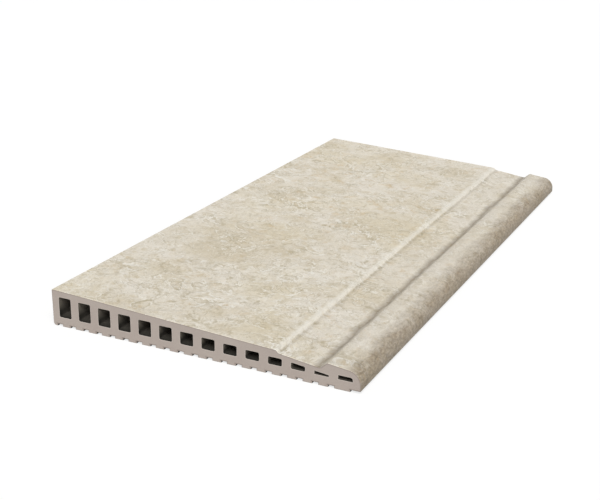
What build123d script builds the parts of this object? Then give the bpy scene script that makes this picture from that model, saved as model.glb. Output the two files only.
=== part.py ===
"""Pool coping tile: one piece of extruded stoneware with a sloping deck, a channel and a hand-grip nose.

X runs from the back face to the nose, Y along the tile and Z up from the soles of the ribs, in millimetres.
The tile is one section, drawn from the back face forward and extruded along its length.
"""

import os

from build123d import *

# Overall size
tile_length = 626.0
tile_width = 310.0

# Deck, falling from the back face to the step
back_height = 36.0
deck_front_height = 23.7
back_edge_radius = 1.6
back_sole_radius = 2.8

# Step down from the deck into the channel
step_run = 2.4
step_drop = 2.5
step_edge_radius = 1.0
step_foot_radius = 1.6

# Channel, falling forward to the foot of the ramp
channel_run = 38.4
channel_fall = 5.0
channel_foot_radius = 3.5

# Ramp up to the lip, where fingers take hold
ramp_run = 6.4
ramp_rise = 5.8
lip_radius = 2.4

# Nose, from the lip to the face over the water
nose_width = 31.0
nose_fall = 3.7
nose_radius = 12.5
nose_sole_width = 9.8
nose_sole_radius = 1.5

# Key grooves across the underside, between the rib at the back and the rib at the nose
groove_count = 20
groove_width = 5.7
groove_depth = 2.0
back_rib_width = 4.5
nose_rib_width = 14.5

# Cells through the whole length
cell_count = 14
cell_width = 13.2
side_wall = 7.6
floor_wall = 7.3
deck_wall_at_back = 6.1
deck_wall_at_step = 7.5
channel_wall = 4.3
nose_cell_height = 3.8
least_cell_height = 1.6
low_cell_height = 4.0
cell_radius = 1.4
low_cell_radius = 0.35
nose_cell_radius = 2.2

# Places that follow from the sizes above, measured from the back face and from the soles
deck_width = tile_width - nose_width - ramp_run - channel_run - step_run
step_foot_at = deck_width + step_run
channel_foot_at = step_foot_at + channel_run
lip_at = channel_foot_at + ramp_run
step_foot_height = deck_front_height - step_drop
channel_foot_height = step_foot_height - channel_fall
lip_height = channel_foot_height + ramp_rise
nose_height = lip_height - nose_fall
nose_rib_end = tile_width - nose_sole_width
groove_span = nose_rib_end - nose_rib_width - back_rib_width - groove_width
groove_pitch = groove_span / (groove_count - 1)
cell_pitch = (tile_width - 2 * side_wall - cell_width) / (cell_count - 1)
cell_floor = groove_depth + floor_wall


def deck_roof(from_back):
    """Height of a cell's roof under the deck."""
    share = from_back / deck_width
    deck_height = back_height + (deck_front_height - back_height) * share
    wall = deck_wall_at_back + (deck_wall_at_step - deck_wall_at_back) * share
    return deck_height - wall


def channel_roof(from_back):
    """Height of a cell's roof under the channel, kept above the floor by the least height."""
    bed_height = step_foot_height - channel_fall * (from_back - step_foot_at) / channel_run
    return max(bed_height - channel_wall, cell_floor + least_cell_height)


def cell_roofs(start):
    """Roof heights at a cell's back and nose sides: they differ only under the sloping channel."""
    middle = start + cell_width / 2
    if middle <= deck_width:
        roof = deck_roof(middle)
        return roof, roof
    if middle < lip_at:
        return channel_roof(start), channel_roof(start + cell_width)
    roof = cell_floor + nose_cell_height
    return roof, roof


# Outline, clockwise from the back sole: place from the back face, height and corner radius
outline = [
    (0, 0, back_sole_radius),
    (0, back_height, back_edge_radius),
    (deck_width, deck_front_height, step_edge_radius),
    (step_foot_at, step_foot_height, step_foot_radius),
    (channel_foot_at, channel_foot_height, channel_foot_radius),
    (lip_at, lip_height, lip_radius),
    (tile_width, nose_height, nose_radius),
    (tile_width, groove_depth, nose_sole_radius),
    (nose_rib_end, groove_depth, 0),
    (nose_rib_end, 0, 0),
]

section_plane = Plane(origin=(-tile_width / 2, 0, 0), x_dir=(1, 0, 0), z_dir=(0, -1, 0))

with BuildPart() as coping_tile:
    with BuildSketch(section_plane):
        with BuildLine():
            FilletPolyline(
                [(from_back, height) for from_back, height, _ in outline],
                radius=[radius for _, _, radius in outline],
                close=True,
            )
        make_face()

        # Rectangular key grooves, open at the soles
        for index in range(groove_count):
            with Locations((back_rib_width + index * groove_pitch, 0)):
                Rectangle(groove_width, groove_depth, align=(Align.MIN, Align.MIN), mode=Mode.SUBTRACT)

        # Cells on one floor, each with its roof under the deck, the channel or the nose
        for index in range(cell_count):
            start = side_wall + index * cell_pitch
            end = start + cell_width
            back_roof, nose_roof = cell_roofs(start)
            radius = cell_radius if nose_roof - cell_floor > low_cell_height else low_cell_radius
            outer_radius = nose_cell_radius if index == cell_count - 1 else radius
            with BuildLine():
                FilletPolyline(
                    (start, cell_floor),
                    (start, back_roof),
                    (end, nose_roof),
                    (end, cell_floor),
                    radius=[radius, radius, outer_radius, radius],
                    close=True,
                )
            make_face(mode=Mode.SUBTRACT)
    extrude(amount=tile_length / 2, both=True)

os.makedirs("parts", exist_ok=True)
coping_tile.part.label = "coping_tile"
export_step(coping_tile.part, "parts/coping_tile.step")
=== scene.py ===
"""Pool coping tile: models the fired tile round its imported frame, finishes its surfaces and lights it.

The tile is one extruded piece of stoneware. X runs from the back face to the nose, Y along the tile, Z up.
"""

import math
from collections import namedtuple

import bmesh
import bpy
from bpy.props import FloatProperty, FloatVectorProperty, IntProperty, PointerProperty
from mathutils import Matrix, Vector, noise


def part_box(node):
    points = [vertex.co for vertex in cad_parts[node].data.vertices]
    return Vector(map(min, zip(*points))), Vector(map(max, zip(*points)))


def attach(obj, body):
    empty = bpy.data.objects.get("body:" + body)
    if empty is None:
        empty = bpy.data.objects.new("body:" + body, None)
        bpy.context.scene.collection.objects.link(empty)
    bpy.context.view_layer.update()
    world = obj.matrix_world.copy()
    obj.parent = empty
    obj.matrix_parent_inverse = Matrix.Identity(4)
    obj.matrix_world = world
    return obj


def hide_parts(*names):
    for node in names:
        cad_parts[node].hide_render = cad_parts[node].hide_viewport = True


bl_info = {
    "name": "Pool coping tile",
    "version": (1, 0, 0),
    "blender": (4, 5, 0),
    "location": "3D View > Sidebar > Coping",
    "description": "Models, finishes and lights a hollow stoneware pool coping tile",
    "category": "Mesh",
}

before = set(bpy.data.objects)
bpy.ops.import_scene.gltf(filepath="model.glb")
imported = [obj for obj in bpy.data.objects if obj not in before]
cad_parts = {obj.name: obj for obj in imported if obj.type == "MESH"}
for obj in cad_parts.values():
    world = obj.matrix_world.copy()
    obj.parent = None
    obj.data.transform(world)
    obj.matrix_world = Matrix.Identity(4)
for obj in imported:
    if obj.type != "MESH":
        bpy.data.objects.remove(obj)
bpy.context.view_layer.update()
TILE_LOW, TILE_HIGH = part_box("coping_tile")

MM = 0.001
SLACK = 0.01 * MM  # places closer than this count as one
HAIR = 0.001 * MM  # each end stops this much short, so that rounding keeps the mesh within the CAD's box
BARE, GLAZE, BORE = range(3)
WHITE, BLACK = (1.0, 1.0, 1.0, 1.0), (0.0, 0.0, 0.0, 1.0)
DEGREES_PER_SEGMENT = 7  # of a rounded corner
SHARP_ANGLE = math.radians(32)  # edges that turn further than this stay sharp
FLOOR_REACH = 6.0  # metres from the tile's middle to the sides of the floor


def linear(code):
    """Turn an sRGB hex code into a linear RGBA colour."""
    channels = [int(code[i:i + 2], 16) / 255 for i in (0, 2, 4)]
    return [c / 12.92 if c <= 0.04045 else ((c + 0.055) / 1.055) ** 2.4 for c in channels] + [1.0]


def size(name, description, millimetres):
    """A length property with its default in millimetres."""
    return FloatProperty(
        name=name, description=description, default=millimetres * MM, min=0.0, precision=5, unit="LENGTH"
    )


def colour(name, description, code):
    """A colour property with its default as an sRGB hex code."""
    return FloatVectorProperty(
        name=name, description=description, default=linear(code), size=4, min=0.0, max=1.0, subtype="COLOR"
    )


def angle(name, description, degrees):
    """An angle property with its default in degrees."""
    return FloatProperty(name=name, description=description, default=math.radians(degrees), subtype="ANGLE")


class CopingSizes(bpy.types.PropertyGroup):
    """Real sizes of the tile's section and of its edges"""

    width: size("Width", "Back face to nose", (TILE_HIGH.x - TILE_LOW.x) / MM)
    length: size("Length", "End to end", (TILE_HIGH.y - TILE_LOW.y) / MM)
    back_height: size("Back height", "Sole to deck at the back face", 36.0)
    deck_front_height: size("Deck front height", "Sole to deck at the step", 23.7)
    back_edge_radius: size("Back edge radius", "Rounding where the deck meets the back face", 1.6)
    back_sole_radius: size("Back sole radius", "Rounding under the back face", 2.8)
    step_run: size("Step run", "Width of the step between deck and channel", 2.4)
    step_drop: size("Step drop", "Height of that step", 2.5)
    step_edge_radius: size("Step edge radius", "Rounding at the top of the step", 1.0)
    step_foot_radius: size("Step foot radius", "Hollow at the foot of the step", 1.6)
    channel_run: size("Channel run", "Width of the channel's bed", 38.4)
    channel_fall: size("Channel fall", "Fall of the bed towards the nose", 5.0)
    channel_foot_radius: size("Channel foot radius", "Hollow at the foot of the ramp", 3.5)
    ramp_run: size("Ramp run", "Width of the ramp behind the lip", 6.4)
    ramp_rise: size("Ramp rise", "Height of that ramp", 5.8)
    lip_radius: size("Lip radius", "Rounding of the grip lip", 2.4)
    nose_width: size("Nose width", "Lip to the face over the water", 31.0)
    nose_fall: size("Nose fall", "Fall of the nose's top towards its face", 3.7)
    nose_radius: size("Nose radius", "Rounding of the nose", 12.5)
    nose_sole_width: size("Nose sole width", "Raised sole under the nose", 9.8)
    nose_sole_radius: size("Nose sole radius", "Rounding under the nose", 1.5)
    groove_count: IntProperty(name="Grooves", description="Key grooves in the underside", default=20, min=2)
    groove_width: size("Groove width", "Width of a key groove", 5.7)
    groove_depth: size("Groove depth", "Depth of a key groove", 2.0)
    back_rib_width: size("Back rib width", "Sole between the back face and the first groove", 4.5)
    nose_rib_width: size("Nose rib width", "Sole between the last groove and the nose", 14.5)
    cell_count: IntProperty(name="Cells", description="Cells through the tile", default=14, min=2)
    cell_width: size("Cell width", "Width of every cell", 13.2)
    side_wall: size("Side wall", "Outer wall beside the first and last cells", 7.6)
    floor_wall: size("Floor wall", "Wall between the grooves and the cells", 7.3)
    deck_wall_at_back: size("Deck wall at back", "Wall over the cells at the back face", 6.1)
    deck_wall_at_step: size("Deck wall at step", "Wall over the cells at the step", 7.5)
    channel_wall: size("Channel wall", "Wall over the cells under the channel", 4.3)
    nose_cell_height: size("Nose cell height", "Height of the cell under the nose", 3.8)
    least_cell_height: size("Least cell height", "Height at the low side of the wedge cell", 1.6)
    low_cell_height: size("Low cell height", "Cells lower than this have small corners", 4.0)
    cell_radius: size("Cell radius", "Corner radius of a cell", 1.4)
    low_cell_radius: size("Low cell radius", "Corner radius of a low cell", 0.35)
    nose_cell_radius: size("Nose cell radius", "Upper outer corner of the cell under the nose", 2.2)
    arris: size("Arris", "Softened edge round each end", 0.4)
    glaze_line: size("Glaze line", "Depth of the fused line under the glaze at each end", 1.0)
    mouth: size("Mouth", "Softened edge round the mouth of a cell", 0.12)
    # Pale ring round each cell mouth: rubbed wear and a painted highlight of the softened edge
    rubbed: size("Rubbed edge", "Pale rubbed ring round the mouth of a cell", 0.7)
    mesh_step: size("Mesh step", "Spacing of the glazed face's mesh", 2.4)
    relief: size("Relief", "Deepest hollow of the glaze's fine relief", 0.6)
    run_out: size("Run-out", "Width over which the relief runs out round the glazed face", 9.0)


class CopingColours(bpy.types.PropertyGroup):
    """Colours of the glaze, the bare body and the cells"""

    ground: colour("Ground", "Cream ground of the print", "DFD8CB")
    beige: colour("Beige", "Darker clouds of the print", "C5B89D")
    wisp: colour("Wisp", "Pale wisps", "EDEAE2")
    olive: colour("Olive", "Dull smudges", "A09372")
    straw: colour("Straw", "Faint warm clouds", "D7CCB2")
    tan: colour("Tan", "Rusty stains", "BFA069")
    # Painted highlight along the step's edge, given as glaze drawn thin there
    edge: colour("Step highlight", "Glaze drawn thin over the step's edge", "ECE8DE")
    # Painted shade in the hollow at the foot of the step
    hollow: colour("Step hollow", "Tint of the glaze at the foot of the step", "E6E5E4")
    # Painted shade at the foot of the ramp, over the channel's bed and over the lip and nose, given as glaze
    # gathered there
    valley_shade: colour("Valley", "Tint of the glaze gathered at the foot of the ramp", "B4AFA9")
    # Partly painted shade over the nose's rounding, partly the base glaze where the print thins out
    nose: colour("Nose", "Tint where the print thins out over the nose and the base glaze shows", "C2BAB1")
    clay: colour("Clay", "Bare fired body", "BEB3AA")
    clay_dark: colour("Dark clay", "Darker grains of the body", "B5A8A0")
    # Pale ring round the cell mouths: rubbed wear and a painted highlight
    rim_wear_and_highlight: colour("Pale clay", "Rubbed edges of the body", "CBC1B8")
    fused: colour("Fused line", "Body just under the glaze", "93867F")
    # Painted shade at the cell mouths, and a pale painted sheen further in
    bore: colour("Bore mouth", "Cell walls near an end", "8C8478")
    bore_deep: colour("Bore depth", "Cell walls further in", "DCD2C4")
    # Painted shade on the cell floors and in the key grooves
    soot: colour("Soot", "Cell floors and key grooves", "201F1B")


class CopingStage(bpy.types.PropertyGroup):
    """Camera, light and floor"""

    focal_length: FloatProperty(name="Lens", description="Focal length in mm, on 36 mm", default=67.52)
    eye: FloatVectorProperty(
        name="Eye", description="Place of the camera", default=(0.4679, -1.0757, 0.4264),
        subtype="TRANSLATION",
    )
    yaw: angle("Yaw", "Turn to the left", 25.843)
    pitch: angle("Pitch", "Tilt down", 20.091)
    roll: angle("Roll", "Turn of the picture", 0.5)
    key_from: FloatVectorProperty(
        name="Key from", description="Direction of the soft key light", default=(0.28, -0.46, 0.714),
        subtype="DIRECTION",
    )
    key_strength: FloatProperty(name="Key strength", description="Sun strength of the key", default=2.81)
    key_angle: angle("Key size", "Width of the key", 35)
    fill: FloatProperty(name="Fill", description="Strength of the even light from all round", default=0.3)
    floor: colour("Floor", "Seamless paper", "BCBCBA")
    floor_seen: colour("Floor seen", "The paper under its lift, for the eye", "888887")
    floor_lift: FloatProperty(
        name="Floor lift", description="What the eye sees on top of the lit paper", default=0.76
    )


def outline(sizes):
    """Corners of the section as x, z and radius, clockwise from the back sole, with the key grooves last."""
    back, nose = -sizes.width / 2, sizes.width / 2
    lip = nose - sizes.nose_width
    channel_foot = lip - sizes.ramp_run
    step_foot = channel_foot - sizes.channel_run
    bed_height = sizes.deck_front_height - sizes.step_drop
    foot_height = bed_height - sizes.channel_fall
    lip_height = foot_height + sizes.ramp_rise
    rib_end = nose - sizes.nose_sole_width
    corners = [
        (back, 0.0, sizes.back_sole_radius),
        (back, sizes.back_height, sizes.back_edge_radius),
        (step_foot - sizes.step_run, sizes.deck_front_height, sizes.step_edge_radius),
        (step_foot, bed_height, sizes.step_foot_radius),
        (channel_foot, foot_height, sizes.channel_foot_radius),
        (lip, lip_height, sizes.lip_radius),
        (nose, lip_height - sizes.nose_fall, sizes.nose_radius),
        (nose, sizes.groove_depth, sizes.nose_sole_radius),
        (rib_end, sizes.groove_depth, 0.0),
        (rib_end, 0.0, 0.0),
    ]
    last = rib_end - sizes.nose_rib_width - sizes.groove_width
    pitch = (last - back - sizes.back_rib_width) / (sizes.groove_count - 1)
    for index in range(sizes.groove_count):
        left = last - index * pitch
        right = left + sizes.groove_width
        corners += [
            (right, 0.0, 0.0),
            (right, sizes.groove_depth, 0.0),
            (left, sizes.groove_depth, 0.0),
            (left, 0.0, 0.0),
        ]
    return corners


def cells(sizes):
    """Corners of each cell's mouth, grown by its softened edge and its pale rim of wear and painted
    highlight, as x, z and radius.
    """
    back = -sizes.width / 2
    lip = sizes.width / 2 - sizes.nose_width
    step_foot = lip - sizes.ramp_run - sizes.channel_run
    deck_width = step_foot - sizes.step_run - back
    bed_height = sizes.deck_front_height - sizes.step_drop
    floor = sizes.groove_depth + sizes.floor_wall
    pitch = (sizes.width - 2 * sizes.side_wall - sizes.cell_width) / (sizes.cell_count - 1)

    def deck_roof(x):
        share = (x - back) / deck_width
        deck = sizes.back_height + (sizes.deck_front_height - sizes.back_height) * share
        return deck - sizes.deck_wall_at_back - (sizes.deck_wall_at_step - sizes.deck_wall_at_back) * share

    def channel_roof(x):
        bed = bed_height - sizes.channel_fall * (x - step_foot) / sizes.channel_run
        return max(bed - sizes.channel_wall, floor + sizes.least_cell_height)

    mouths = []
    for index in range(sizes.cell_count):
        start = back + sizes.side_wall + index * pitch
        end = start + sizes.cell_width
        middle = (start + end) / 2
        if middle <= back + deck_width:
            roofs = [deck_roof(middle)] * 2
        elif middle < lip:
            roofs = [channel_roof(start), channel_roof(end)]
        else:
            roofs = [floor + sizes.nose_cell_height] * 2
        radius = sizes.cell_radius if roofs[1] - floor > sizes.low_cell_height else sizes.low_cell_radius
        outer = sizes.nose_cell_radius if index == sizes.cell_count - 1 else radius
        grow = sizes.mouth + sizes.rubbed
        mouths.append([
            (start - grow, floor - grow, radius + grow),
            (start - grow, roofs[0] + grow, radius + grow),
            (end + grow, roofs[1] + grow, outer + grow),
            (end + grow, floor - grow, radius + grow),
        ])
    return mouths


def rounded_face(bm, corners, y):
    """A flat face at y through the corners, each corner rounded to its radius by a vertex bevel."""
    verts = [bm.verts.new((x, y, z)) for x, z, _ in corners]
    face = bm.faces.new(verts)
    for vert, (_, _, radius) in zip(verts, corners):
        if radius > 0.0:
            turn = vert.calc_edge_angle()
            made = bmesh.ops.bevel(
                bm,
                geom=[vert],
                offset=radius * math.tan(turn / 2),
                offset_type="OFFSET",
                segments=max(3, round(math.degrees(turn) / DEGREES_PER_SEGMENT)),
                profile=0.5,
                affect="VERTICES",
                material=-1,
            )
            face = made["verts"][0].link_faces[0]
    return face


def inset(bm, face, width, depth):
    """Inset a lone face and shift its inner loop along Y; returns the ring and the outer loop's edges."""
    made = bmesh.ops.inset_region(
        bm, faces=[face], thickness=width, use_boundary=True, use_even_offset=True
    )
    ring = made["faces"]
    inner = set(face.verts)
    rim_edges = [e for f in ring for e in f.edges if not inner.intersection(e.verts)]
    bmesh.ops.translate(bm, verts=list(inner), vec=(0.0, depth, 0.0))
    return ring, rim_edges


def draw_out(bm, edges, distance):
    """Extrude edges along Y and return the new faces."""
    made = bmesh.ops.extrude_edge_only(bm, edges=edges)["geom"]
    verts = [g for g in made if isinstance(g, bmesh.types.BMVert)]
    bmesh.ops.translate(bm, verts=verts, vec=(0.0, distance, 0.0))
    return [g for g in made if isinstance(g, bmesh.types.BMFace)]


def clamp(value):
    """The value, kept between 0 and 1."""
    return min(1.0, max(0.0, value))


GLAZE_WRAP = 1.2  # the glaze ends this many edge radii below the top of the back face


def is_glazed(point, sizes):
    """True on the outer skin from the back edge over the deck, channel and nose down to the nose's sole."""
    at_back = point.x < sizes.back_edge_radius - sizes.width / 2
    wrapped = sizes.back_height - GLAZE_WRAP * sizes.back_edge_radius
    return point.z > (wrapped if at_back else sizes.groove_depth) + SLACK


def is_grooved(point, sizes):
    """True on the underside above the soles: the key grooves' walls and roofs, and the nose's raised sole."""
    within = abs(point.x) < sizes.width / 2 - sizes.back_rib_width + SLACK
    return within and SLACK < point.z < sizes.groove_depth + SLACK


BROAD_HOLLOW, SMALL_CHIP = 60 * MM, 17 * MM
BROAD_SHARE = 0.3
CHIP_ROUGHNESS, CHIP_RATIO, CHIP_OCTAVES = 0.7, 2.0, 3


def relief_depth(point, sizes):
    """Depth of the relief that a stone-look tile is pressed with: broad hollows under small chipped ones.

    It runs out over the last few millimetres before the back edge, the nose's face and the two ends.
    """
    broad = 0.5 + 0.5 * noise.noise(point / BROAD_HOLLOW)
    chips = abs(noise.fractal(point / SMALL_CHIP, CHIP_ROUGHNESS, CHIP_RATIO, CHIP_OCTAVES))
    from_edge = min(sizes.width / 2 - abs(point.x), sizes.length / 2 - abs(point.y))
    return sizes.relief * min(1.0, BROAD_SHARE * broad + chips) * clamp(from_edge / sizes.run_out)


# Painted shade on a cell's floor, as a share: some in the lowest cells, all of it from the upper height on
LOW_CELL_SHADE = 0.6
LOW_SHADE_HEIGHT, FULL_SHADE_HEIGHT = 4.2 * MM, 12.2 * MM


def model_tile(sizes):
    """Build the whole tile as one closed mesh: half of it from one end, then mirrored at mid-length."""
    bm = bmesh.new()
    half = sizes.length / 2 - HAIR
    under_glaze = bm.verts.layers.float.new("under_glaze")
    rim = bm.verts.layers.float.new("rim")
    soot = bm.verts.layers.float.new("soot")

    face = rounded_face(bm, outline(sizes), -half)
    for edge in list(face.edges):
        middle = (edge.verts[0].co + edge.verts[1].co) / 2
        cuts = round(edge.calc_length() / sizes.mesh_step) - 1
        if cuts > 0 and is_glazed(middle, sizes):
            bmesh.ops.subdivide_edges(bm, edges=[edge], cuts=cuts)
    bm.faces.ensure_lookup_table()
    face = bm.faces[0]

    # Softened edge all round the end, then the thin fused line inside it
    bmesh.ops.translate(bm, verts=list(face.verts), vec=(0.0, sizes.arris, 0.0))
    ring, skin_edges = inset(bm, face, sizes.arris, -sizes.arris)
    for part in ring:
        part.material_index = GLAZE if is_glazed(part.calc_center_median(), sizes) else BARE
    for vert in face.verts:
        vert[under_glaze] = 1.0 if is_glazed(vert.co, sizes) else 0.0
    inset(bm, face, sizes.glaze_line, 0.0)
    for vert in face.verts:
        vert[under_glaze] = 0.0
    cap_edges = list(face.edges)
    bmesh.ops.delete(bm, geom=[face], context="FACES_ONLY")

    # Outer skin to mid-length, the glazed part cut into short rows for its relief, and the back face with it
    skin = draw_out(bm, skin_edges, half - sizes.arris)
    long_edges = set()
    for part in skin:
        centre = part.calc_center_median()
        # The key grooves take the cells' material, in full painted shade
        if is_grooved(centre, sizes):
            part.material_index = BORE
            for vert in part.verts:
                vert[soot] = 1.0
        if is_glazed(centre, sizes):
            part.material_index = GLAZE
        if part.material_index == GLAZE or centre.x < SLACK - sizes.width / 2:
            long_edges.update(e for e in part.edges if abs(e.verts[0].co.y - e.verts[1].co.y) > half / 2)
    rows = round((half - sizes.arris) / sizes.mesh_step)
    bmesh.ops.subdivide_edges(bm, edges=list(long_edges), cuts=rows - 1)

    # Cells, from their softened mouths to mid-length
    for corners in cells(sizes):
        mouth = rounded_face(bm, corners, -half)
        _, mouth_edges = inset(bm, mouth, sizes.rubbed, 0.0)
        cap_edges += mouth_edges
        ring, _ = inset(bm, mouth, sizes.mouth, sizes.mouth)
        # Pale rim: rubbed wear and a painted highlight, fading outwards across the flat ring
        for part in ring:
            for vert in part.verts:
                vert[rim] = 1.0
        bore_edges = list(mouth.edges)
        bmesh.ops.delete(bm, geom=[mouth], context="FACES_ONLY")
        floor = corners[0][1] + sizes.rubbed + sizes.mouth
        roof = min(corners[1][1], corners[2][1])
        # Painted shade on each cell's wall: full on the floor, none at the roof, less in low cells
        tall = clamp((roof - floor - LOW_SHADE_HEIGHT) / (FULL_SHADE_HEIGHT - LOW_SHADE_HEIGHT))
        on_floor = LOW_CELL_SHADE + (1.0 - LOW_CELL_SHADE) * tall
        for part in draw_out(bm, bore_edges, half - sizes.mouth):
            part.material_index = BORE
            for vert in part.verts:
                vert[soot] = on_floor * clamp((roof - vert.co.z) / (roof - floor))

    bmesh.ops.triangle_fill(bm, use_beauty=True, edges=cap_edges)
    everything = bm.verts[:] + bm.edges[:] + bm.faces[:]
    bmesh.ops.mirror(bm, geom=everything, matrix=Matrix.Identity(4), merge_dist=SLACK, axis="Y")
    bmesh.ops.recalc_face_normals(bm, faces=bm.faces[:])

    glazed = {v for f in bm.faces if f.material_index == GLAZE for v in f.verts}
    for vert in glazed:
        inward = -Vector((vert.normal.x, 0.0, vert.normal.z))
        vert.co += inward * relief_depth(vert.co, sizes)

    if any(not edge.is_manifold for edge in bm.edges):
        raise RuntimeError("the tile's mesh isn't closed")
    mesh = bpy.data.meshes.new("fired_tile")
    bm.to_mesh(mesh)
    bm.free()
    mesh.polygons.foreach_set("use_smooth", [True] * len(mesh.polygons))
    mesh.set_sharp_from_angle(angle=SHARP_ANGLE)
    return mesh


def add(tree, kind, sockets=None, output=0, **settings):
    """Add a node with its settings, link or set each named socket, and return one of its outputs."""
    node = tree.nodes.new(kind)
    for key, value in settings.items():
        setattr(node, key, value)
    for key, value in (sockets or {}).items():
        if isinstance(value, bpy.types.NodeSocket):
            tree.links.new(value, node.inputs[key])
        else:
            node.inputs[key].default_value = value
    return node.outputs[output] if node.outputs else None


def per_mm(millimetres):
    """Texture scale at which a pattern's features are about that many millimetres across."""
    return 1.0 / (millimetres * MM)


def new_material(name):
    """An empty node material; returns it with its node tree and its Object coordinates."""
    material = bpy.data.materials.new(name)
    material.use_nodes = True
    tree = material.node_tree
    tree.nodes.clear()
    return material, tree, add(tree, "ShaderNodeTexCoord", output="Object")


def surface(tree, base, roughness, specular, height, depth):
    """Finish a material as a dry surface over a bump of the given depth in millimetres."""
    normal = add(tree, "ShaderNodeBump", {"Strength": 1.0, "Distance": depth * MM, "Height": height})
    shader = add(tree, "ShaderNodeBsdfPrincipled", {
        "Base Color": base, "Roughness": roughness, "Specular IOR Level": specular, "Normal": normal,
    })
    add(tree, "ShaderNodeOutputMaterial", {"Surface": shader})


# A layer of the print shows where its noise lies within reach of the band, and inside its clusters if it
# has any. Layers with the same seed and size lie side by side, as the pale and dark sides of a chipped edge.
# Sizes are in mm.
Layer = namedtuple("Layer", "colour seed size detail roughness distortion band reach cluster strength")
PRINT = (
    Layer("beige", 31, 150, 2.0, 0.5, 0.5, 0.70, 0.24, 0, 0.25),
    Layer("beige", 9, 62, 3.0, 0.5, 0.5, 0.70, 0.24, 0, 0.55),
    Layer("straw", 210, 120, 5.0, 0.65, 1.0, 0.70, 0.24, 0, 0.5),
    Layer("beige", 3, 13, 5.0, 0.65, 1.0, 0.70, 0.22, 0, 0.62),
    Layer("olive", 377, 22, 6.0, 0.7, 2.0, 0.72, 0.21, 70, 0.95),
    Layer("tan", 1, 26, 5.0, 0.7, 2.0, 0.74, 0.22, 110, 0.75),
    Layer("olive", 4, 46, 5.0, 0.6, 1.6, 0.465, 0.030, 30, 0.5),
    Layer("wisp", 4, 46, 5.0, 0.6, 1.6, 0.50, 0.018, 30, 0.8),
    Layer("olive", 5, 30, 5.0, 0.6, 1.6, 0.54, 0.030, 44, 0.5),
    Layer("wisp", 5, 30, 5.0, 0.6, 1.6, 0.50, 0.018, 44, 0.75),
    Layer("olive", 8, 11, 4.0, 0.6, 2.5, 0.46, 0.03, 26, 0.35),
    Layer("wisp", 8, 11, 4.0, 0.6, 2.5, 0.50, 0.03, 26, 0.44),
    Layer("wisp", 6, 12, 5.0, 0.65, 1.0, 0.30, 0.15, 45, 0.7),
)
SEED_STEP, CLUSTER_SEED_STEP = 3.7, 5.3  # keep the noises of the seeds apart
CLUSTER_BAND = 0.42, 0.62  # noise from which a cluster sets in, and from which it is full
FULL_REACH = 0.2  # share of its reach within which a layer is at full strength

ALONG_GLAZE = (1.0, 0.45, 1.0)  # draws a pattern out along the tile, as the glaze is laid
ALONG_BODY = (1.0, 0.03, 1.0)  # draws it out to the drag lines of the extrusion
GRAIN = 1.3  # mm; the real grain is finer and would not show


def print_colour(tree, place, colours):
    """Colour of the print: its layers, one over the other, on the cream ground."""
    base = list(colours.ground)
    for layer in PRINT:
        pattern = add(tree, "ShaderNodeTexNoise", {
            "Vector": place, "W": SEED_STEP * layer.seed, "Scale": per_mm(layer.size), "Detail": layer.detail,
            "Roughness": layer.roughness, "Distortion": layer.distortion,
        }, noise_dimensions="4D")
        gap = add(tree, "ShaderNodeMath", {0: pattern, 1: layer.band}, operation="SUBTRACT")
        gap = add(tree, "ShaderNodeMath", {0: gap}, operation="ABSOLUTE")
        share = add(tree, "ShaderNodeMapRange", {
            "Value": gap, "From Min": layer.reach, "From Max": FULL_REACH * layer.reach,
            "To Max": layer.strength,
        }, interpolation_type="SMOOTHSTEP")
        if layer.cluster:
            cluster = add(tree, "ShaderNodeTexNoise", {
                "Vector": place, "W": CLUSTER_SEED_STEP * layer.seed, "Scale": per_mm(layer.cluster),
                "Detail": 5.0, "Roughness": 0.68,
            }, noise_dimensions="4D")
            cluster = add(tree, "ShaderNodeMapRange", {
                "Value": cluster, "From Min": CLUSTER_BAND[0], "From Max": CLUSTER_BAND[1],
            })
            share = add(tree, "ShaderNodeMath", {0: share, 1: cluster}, operation="MULTIPLY")
        shade = list(getattr(colours, layer.colour))
        base = add(tree, "ShaderNodeMix", {0: share, 6: base, 7: shade}, output=2, data_type="RGBA")
    return base


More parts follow.
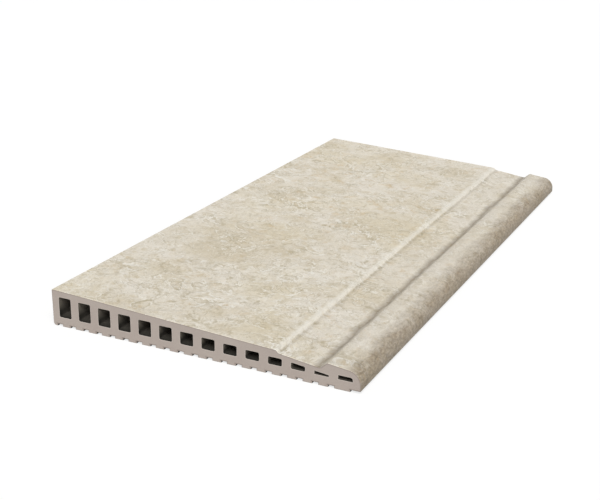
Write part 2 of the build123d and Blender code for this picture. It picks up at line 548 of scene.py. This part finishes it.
def hollow_colour(tree, place, base, colours, sizes):
    """Colour from step to nose: the print fades, a painted highlight runs along the step's edge, and painted
    shade lies in the hollows and over the lip.
    """
    nose = sizes.width / 2
    lip = nose - sizes.nose_width
    foot = lip - sizes.ramp_run
    step_foot = foot - sizes.channel_run
    step = step_foot - sizes.step_run
    start = step - 20 * MM
    fade, highlight_strength = 0.32, 0.55
    beyond = add(tree, "ShaderNodeSeparateXYZ", {0: place}, output="X")
    faded = add(tree, "ShaderNodeMapRange", {
        "Value": beyond, "From Min": step, "From Max": lip, "To Max": fade,
    })
    base = add(tree, "ShaderNodeMix", {
        0: faded, 6: base, 7: list(colours.ground),
    }, output=2, data_type="RGBA")

    # The tints keep nearly straight at the step and wander at the foot of the ramp
    wander = add(tree, "ShaderNodeTexNoise", {"Vector": place, "Scale": per_mm(22), "Detail": 3.0})
    wander = add(tree, "ShaderNodeMath", {0: wander, 1: 0.5}, operation="SUBTRACT")
    swing = add(tree, "ShaderNodeMapRange", {
        "Value": beyond, "From Min": step_foot, "From Max": foot - 5 * MM, "To Min": 2 * MM, "To Max": 9 * MM,
    })
    across = add(tree, "ShaderNodeMath", {0: wander, 1: swing, 2: beyond}, operation="MULTIPLY_ADD")
    across = add(tree, "ShaderNodeMapRange", {"Value": across, "From Min": start, "From Max": nose})

    # Painted shade: faint over the channel's bed, in the hollow at the step's foot, deepest at the foot of
    # the ramp, lighter over the lip and nose
    tint_shares = (
        (step_foot - 1.2 * MM, colours.hollow, 0.0),
        (step_foot + 0.6 * MM, colours.hollow, 1.0),
        (step_foot + 4 * MM, colours.valley_shade, 0.06),
        (foot - 7.5 * MM, colours.valley_shade, 0.07),
        (foot - 1 * MM, colours.valley_shade, 1.0),
        (foot + 4 * MM, colours.valley_shade, 0.2),
        (lip + 2 * MM, colours.valley_shade, 0.24),
        (lip + 8 * MM, colours.valley_shade, 0.10),
        (nose - 14 * MM, colours.valley_shade, 0.10),
    )
    # Painted highlight along the top of the step
    highlight_shares = (
        (step - 5 * MM, 0.0),
        (step - 1 * MM, highlight_strength),
        (step_foot - 1.2 * MM, highlight_strength),
        (step_foot - 0.4 * MM, 0.0),
    )
    tint_stops = [(x, [1.0 - share * (1.0 - part) for part in tint]) for x, tint, share in tint_shares]
    highlight_stops = [(x, (share, share, share, 1.0)) for x, share in highlight_shares]
    ramps = []
    for plain, stops in ((WHITE, tint_stops), (BLACK, highlight_stops)):
        ramp = add(tree, "ShaderNodeValToRGB", {0: across})
        elements = ramp.node.color_ramp.elements
        elements[0].color = elements[1].color = plain
        for x, shade in stops:
            elements.new((x - start) / (nose - start)).color = shade
        ramps.append(ramp)
    tint, thin = ramps
    base = add(tree, "ShaderNodeMix", {
        0: 1.0, 6: base, 7: tint,
    }, output=2, data_type="RGBA", blend_type="MULTIPLY")
    # Painted highlight along the step's edge
    return add(tree, "ShaderNodeMix", {
        0: thin, 6: base, 7: list(colours.edge),
    }, output=2, data_type="RGBA")


def nose_colour(tree, place, drawn, base, colours, sizes):
    """Colour over the nose: along a drifting line the print gives way to a darker, specked tint, partly the
    base glaze and partly painted shade over the nose's rounding.
    """
    nose = sizes.width / 2
    swing = 12 * MM
    beyond = add(tree, "ShaderNodeSeparateXYZ", {0: place}, output="X")
    drift = add(tree, "ShaderNodeTexNoise", {
        "Vector": drawn, "Scale": per_mm(20), "Detail": 5.0, "Roughness": 0.65, "Distortion": 1.0,
    })
    drift = add(tree, "ShaderNodeMapRange", {"Value": drift, "To Min": -swing, "To Max": swing})
    drift = add(tree, "ShaderNodeMath", {0: beyond, 1: drift}, operation="ADD")
    bared_and_shaded = add(tree, "ShaderNodeMapRange", {
        "Value": drift, "From Min": nose - 18.5 * MM, "From Max": nose - 3.5 * MM,
    })
    specks = add(tree, "ShaderNodeTexNoise", {
        "Vector": drawn, "Scale": per_mm(2), "Detail": 3.0, "Roughness": 0.7,
    })
    specks = add(tree, "ShaderNodeMapRange", {
        "Value": specks, "From Min": 0.3, "From Max": 0.7, "To Min": 1.26, "To Max": 0.68,
    })
    # Darker tint, partly painted shade, then the specks, where the print gives way
    for shade in (list(colours.nose), specks):
        base = add(tree, "ShaderNodeMix", {
            0: bared_and_shaded, 6: base, 7: shade,
        }, output=2, data_type="RGBA", blend_type="MULTIPLY")
    return base


def glaze_material(colours, sizes):
    """Matt stone-look glaze: a cream ground printed with clouds, smudges and wisps, dry and without gloss."""
    material, tree, place = new_material("matt_stone_glaze")
    drawn = add(tree, "ShaderNodeMapping", {0: place, 3: ALONG_GLAZE})
    base = print_colour(tree, place, colours)
    base = hollow_colour(tree, place, base, colours, sizes)
    base = nose_colour(tree, place, drawn, base, colours, sizes)
    grain = add(tree, "ShaderNodeTexNoise", {
        "Vector": drawn, "Scale": per_mm(GRAIN), "Detail": 2.0, "Roughness": 0.6,
    })
    tone = add(tree, "ShaderNodeMapRange", {
        "Value": grain, "From Min": 0.25, "From Max": 0.75, "To Min": 0.93, "To Max": 1.07,
    })
    base = add(tree, "ShaderNodeMix", {
        0: 1.0, 6: base, 7: tone,
    }, output=2, data_type="RGBA", blend_type="MULTIPLY")

    # Relief finer than the mesh: grain, small chips and the steps of thin flakes
    chips = add(tree, "ShaderNodeTexNoise", {
        "Vector": place, "Scale": per_mm(9), "Detail": 4.0, "Roughness": 0.6, "Distortion": 1.0,
    })
    height = add(tree, "ShaderNodeMath", {0: grain, 1: 0.2, 2: chips}, operation="MULTIPLY_ADD")
    flakes = add(tree, "ShaderNodeTexNoise", {
        "Vector": place, "Scale": per_mm(30), "Detail": 5.0, "Roughness": 0.62, "Distortion": 1.2,
    })
    flakes = add(tree, "ShaderNodeMapRange", {
        "Value": flakes, "From Min": 0.25, "From Max": 0.75, "Steps": 7.0, "To Max": 2.0,
    }, interpolation_type="STEPPED")
    height = add(tree, "ShaderNodeMath", {0: height, 1: flakes}, operation="ADD")
    surface(tree, base, roughness=0.62, specular=0.3, height=height, depth=0.6)
    return material


def from_middle(tree, place):
    """Distance from mid-length along the tile."""
    along = add(tree, "ShaderNodeSeparateXYZ", {0: place}, output="Y")
    return add(tree, "ShaderNodeMath", {0: along}, operation="ABSOLUTE")


def bare_material(colours, sizes):
    """Unglazed stoneware: dry and pinkish grey, even on the cut ends, dragged and oversprayed on the skin."""
    material, tree, place = new_material("bare_stoneware")
    drawn = add(tree, "ShaderNodeMapping", {0: place, 3: ALONG_BODY})
    drag = add(tree, "ShaderNodeTexNoise", {"Vector": drawn, "Scale": per_mm(GRAIN), "Detail": 3.0})
    blotch = add(tree, "ShaderNodeTexNoise", {"Vector": place, "Scale": per_mm(18), "Detail": 4.0})
    grain = add(tree, "ShaderNodeMath", {0: drag, 1: blotch}, operation="ADD")
    tone = add(tree, "ShaderNodeMapRange", {"Value": grain, "From Min": 0.6, "From Max": 1.4})
    base = add(tree, "ShaderNodeMix", {
        0: tone, 6: list(colours.clay_dark), 7: list(colours.clay),
    }, output=2, data_type="RGBA")
    # Pale rim round the cell mouths, partly rubbed wear and partly painted highlight; then the fused line
    for attribute, shade in (("rim", colours.rim_wear_and_highlight), ("under_glaze", colours.fused)):
        share = add(tree, "ShaderNodeAttribute", output="Fac", attribute_name=attribute)
        base = add(tree, "ShaderNodeMix", {0: share, 6: base, 7: list(shade)}, output=2, data_type="RGBA")

    # The extruded skin, up to the cut ends: the die's drag lines, and glaze spattered below the back edge
    half = sizes.length / 2
    skin = add(tree, "ShaderNodeMapRange", {
        "Value": from_middle(tree, place), "From Min": half - 0.5 * MM, "From Max": half - 1 * MM,
    })
    lines = add(tree, "ShaderNodeMapRange", {
        "Value": drag, "From Min": 0.3, "From Max": 0.7, "To Min": 0.86, "To Max": 1.10,
    })
    base = add(tree, "ShaderNodeMix", {
        0: skin, 6: base, 7: lines,
    }, output=2, data_type="RGBA", blend_type="MULTIPLY")
    top = sizes.back_height
    mist = add(tree, "ShaderNodeMapRange", {
        "Value": add(tree, "ShaderNodeSeparateXYZ", {0: place}, output="Z"),
        "From Min": top - 16 * MM, "From Max": top - 1 * MM, "To Max": 0.26,
    })
    spatter = add(tree, "ShaderNodeTexNoise", {
        "Vector": place, "Scale": per_mm(3.5), "Detail": 4.0, "Roughness": 0.75,
    })
    spatter = add(tree, "ShaderNodeMath", {0: spatter, 1: mist}, operation="ADD")
    spatter = add(tree, "ShaderNodeMapRange", {
        "Value": spatter, "From Min": 0.66, "From Max": 0.84, "To Max": 0.6,
    })
    share = add(tree, "ShaderNodeMath", {0: spatter, 1: skin}, operation="MULTIPLY")
    base = add(tree, "ShaderNodeMix", {
        0: share, 6: base, 7: list(colours.ground),
    }, output=2, data_type="RGBA")
    surface(tree, base, roughness=0.85, specular=0.25, height=drag, depth=0.08)
    return material


def bore_material(colours, sizes):
    """Fired cell wall, dry and dull: painted shade at the mouth and on the floor, less of it up the wall, and
    a pale painted sheen away from the mouth.
    """
    material, tree, place = new_material("dark_fired_bore")
    half = sizes.length / 2
    near = add(tree, "ShaderNodeMapRange", {
        "Value": from_middle(tree, place), "From Min": half - 26 * MM, "From Max": half,
    })
    # Painted shade near the mouth, giving way to a pale painted sheen further in
    base = add(tree, "ShaderNodeMix", {
        0: near, 6: list(colours.bore_deep), 7: list(colours.bore),
    }, output=2, data_type="RGBA")
    # Painted shade towards the floor, stronger near the mouth
    share = add(tree, "ShaderNodeAttribute", output="Fac", attribute_name="soot")
    share = add(tree, "ShaderNodeMapRange", {"Value": share, "From Min": 0.1, "From Max": 0.75})
    toward_mouth = add(tree, "ShaderNodeMapRange", {"Value": near, "To Min": 0.6, "To Max": 1.0})
    share = add(tree, "ShaderNodeMath", {0: share, 1: toward_mouth}, operation="MULTIPLY")
    base = add(tree, "ShaderNodeMix", {
        0: share, 6: base, 7: list(colours.soot),
    }, output=2, data_type="RGBA")
    drawn = add(tree, "ShaderNodeMapping", {0: place, 3: ALONG_BODY})
    drag = add(tree, "ShaderNodeTexNoise", {"Vector": drawn, "Scale": per_mm(GRAIN), "Detail": 2.0})
    surface(tree, base, roughness=0.8, specular=0.2, height=drag, depth=0.08)
    return material


def seen_directly(tree):
    """1 where a ray comes from the eye, by itself, in a gloss or through glass."""
    seen = add(tree, "ShaderNodeLightPath", output="Is Camera Ray")
    for kind in ("Is Glossy Ray", "Is Transmission Ray"):
        ray = add(tree, "ShaderNodeLightPath", output=kind)
        seen = add(tree, "ShaderNodeMath", {0: seen, 1: ray}, operation="MAXIMUM")
    return seen


def paper_material(stage):
    """Seamless white paper: dull and even, lifted to white for the eye, with the tile's shadow left on it."""
    material, tree, _ = new_material("white_paper")
    seen = seen_directly(tree)
    lift = add(tree, "ShaderNodeMath", {0: seen, 1: stage.floor_lift}, operation="MULTIPLY")
    shade = add(tree, "ShaderNodeMix", {
        0: seen, 6: list(stage.floor), 7: list(stage.floor_seen),
    }, output=2, data_type="RGBA")
    paper = add(tree, "ShaderNodeBsdfPrincipled", {
        "Base Color": shade, "Roughness": 1.0, "Specular IOR Level": 0.0,
        "Emission Color": WHITE, "Emission Strength": lift,
    })
    add(tree, "ShaderNodeOutputMaterial", {"Surface": paper})
    return material


class COPING_OT_tile(bpy.types.Operator):
    """Model the fired tile as one closed mesh and finish its glaze, bare body and cells"""

    bl_idname = "coping.tile"
    bl_label = "Fired tile"

    def execute(self, context):
        sizes, colours = context.scene.coping_sizes, context.scene.coping_colours
        tile = bpy.data.objects.new("fired_tile", model_tile(sizes))
        context.scene.collection.objects.link(tile)
        for make in (bare_material, glaze_material, bore_material):
            tile.data.materials.append(make(colours, sizes))
        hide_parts("coping_tile")
        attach(tile, "root")
        return {"FINISHED"}


class COPING_OT_stage(bpy.types.Operator):
    """Lay the pale floor, set the soft light and place the camera"""

    bl_idname = "coping.stage"
    bl_label = "Stage"

    def execute(self, context):
        scene, stage = context.scene, context.scene.coping_stage

        bm = bmesh.new()
        bmesh.ops.create_grid(bm, x_segments=1, y_segments=1, size=FLOOR_REACH)
        sheet = bpy.data.meshes.new("floor")
        bm.to_mesh(sheet)
        bm.free()
        floor = bpy.data.objects.new("floor", sheet)
        scene.collection.objects.link(floor)
        floor.data.materials.append(paper_material(stage))

        light = bpy.data.lights.new("key", "SUN")
        light.energy, light.angle = stage.key_strength, stage.key_angle
        key = bpy.data.objects.new("key", light)
        key.rotation_euler = Vector(stage.key_from).to_track_quat("Z", "Y").to_euler()
        scene.collection.objects.link(key)

        world = bpy.data.worlds.new("studio")
        world.use_nodes = True
        tree = world.node_tree
        tree.nodes.clear()
        strength = add(tree, "ShaderNodeMapRange", {
            "Value": seen_directly(tree), "To Min": stage.fill, "To Max": 1.0,
        })
        sky = add(tree, "ShaderNodeBackground", {"Color": WHITE, "Strength": strength})
        add(tree, "ShaderNodeOutputWorld", {"Surface": sky})
        scene.world = world

        lens = bpy.data.cameras.new("camera")
        lens.lens = stage.focal_length
        camera = bpy.data.objects.new("camera", lens)
        turn = Matrix.Rotation(stage.yaw, 4, "Z") @ Matrix.Rotation(math.pi / 2 - stage.pitch, 4, "X")
        camera.matrix_world = Matrix.Translation(stage.eye) @ turn @ Matrix.Rotation(stage.roll, 4, "Z")
        scene.collection.objects.link(camera)
        scene.camera = camera
        scene.view_settings.view_transform = "Standard"
        return {"FINISHED"}


class COPING_PT_panel(bpy.types.Panel):
    """Sizes, colours and stage of the coping tile"""

    bl_idname = "COPING_PT_panel"
    bl_label = "Coping tile"
    bl_space_type = "VIEW_3D"
    bl_region_type = "UI"
    bl_category = "Coping"

    def draw(self, context):
        for group in (context.scene.coping_sizes, context.scene.coping_colours, context.scene.coping_stage):
            box = self.layout.box()
            for key in group.__annotations__:
                box.prop(group, key)
        for operator in OPERATORS:
            self.layout.operator(operator.bl_idname)


OPERATORS = (COPING_OT_tile, COPING_OT_stage)
CLASSES = (CopingSizes, CopingColours, CopingStage, *OPERATORS, COPING_PT_panel)


def register():
    """Add the classes and hang their settings on the scene."""
    for cls in CLASSES:
        bpy.utils.register_class(cls)
    bpy.types.Scene.coping_sizes = PointerProperty(type=CopingSizes)
    bpy.types.Scene.coping_colours = PointerProperty(type=CopingColours)
    bpy.types.Scene.coping_stage = PointerProperty(type=CopingStage)


def unregister():
    """Take the settings and the classes away again."""
    del bpy.types.Scene.coping_stage, bpy.types.Scene.coping_colours, bpy.types.Scene.coping_sizes
    for cls in reversed(CLASSES):
        bpy.utils.unregister_class(cls)


def main():
    """Build the tile and its stage."""
    register()
    bpy.ops.coping.tile()
    bpy.ops.coping.stage()


if __name__ == "__main__":
    main()
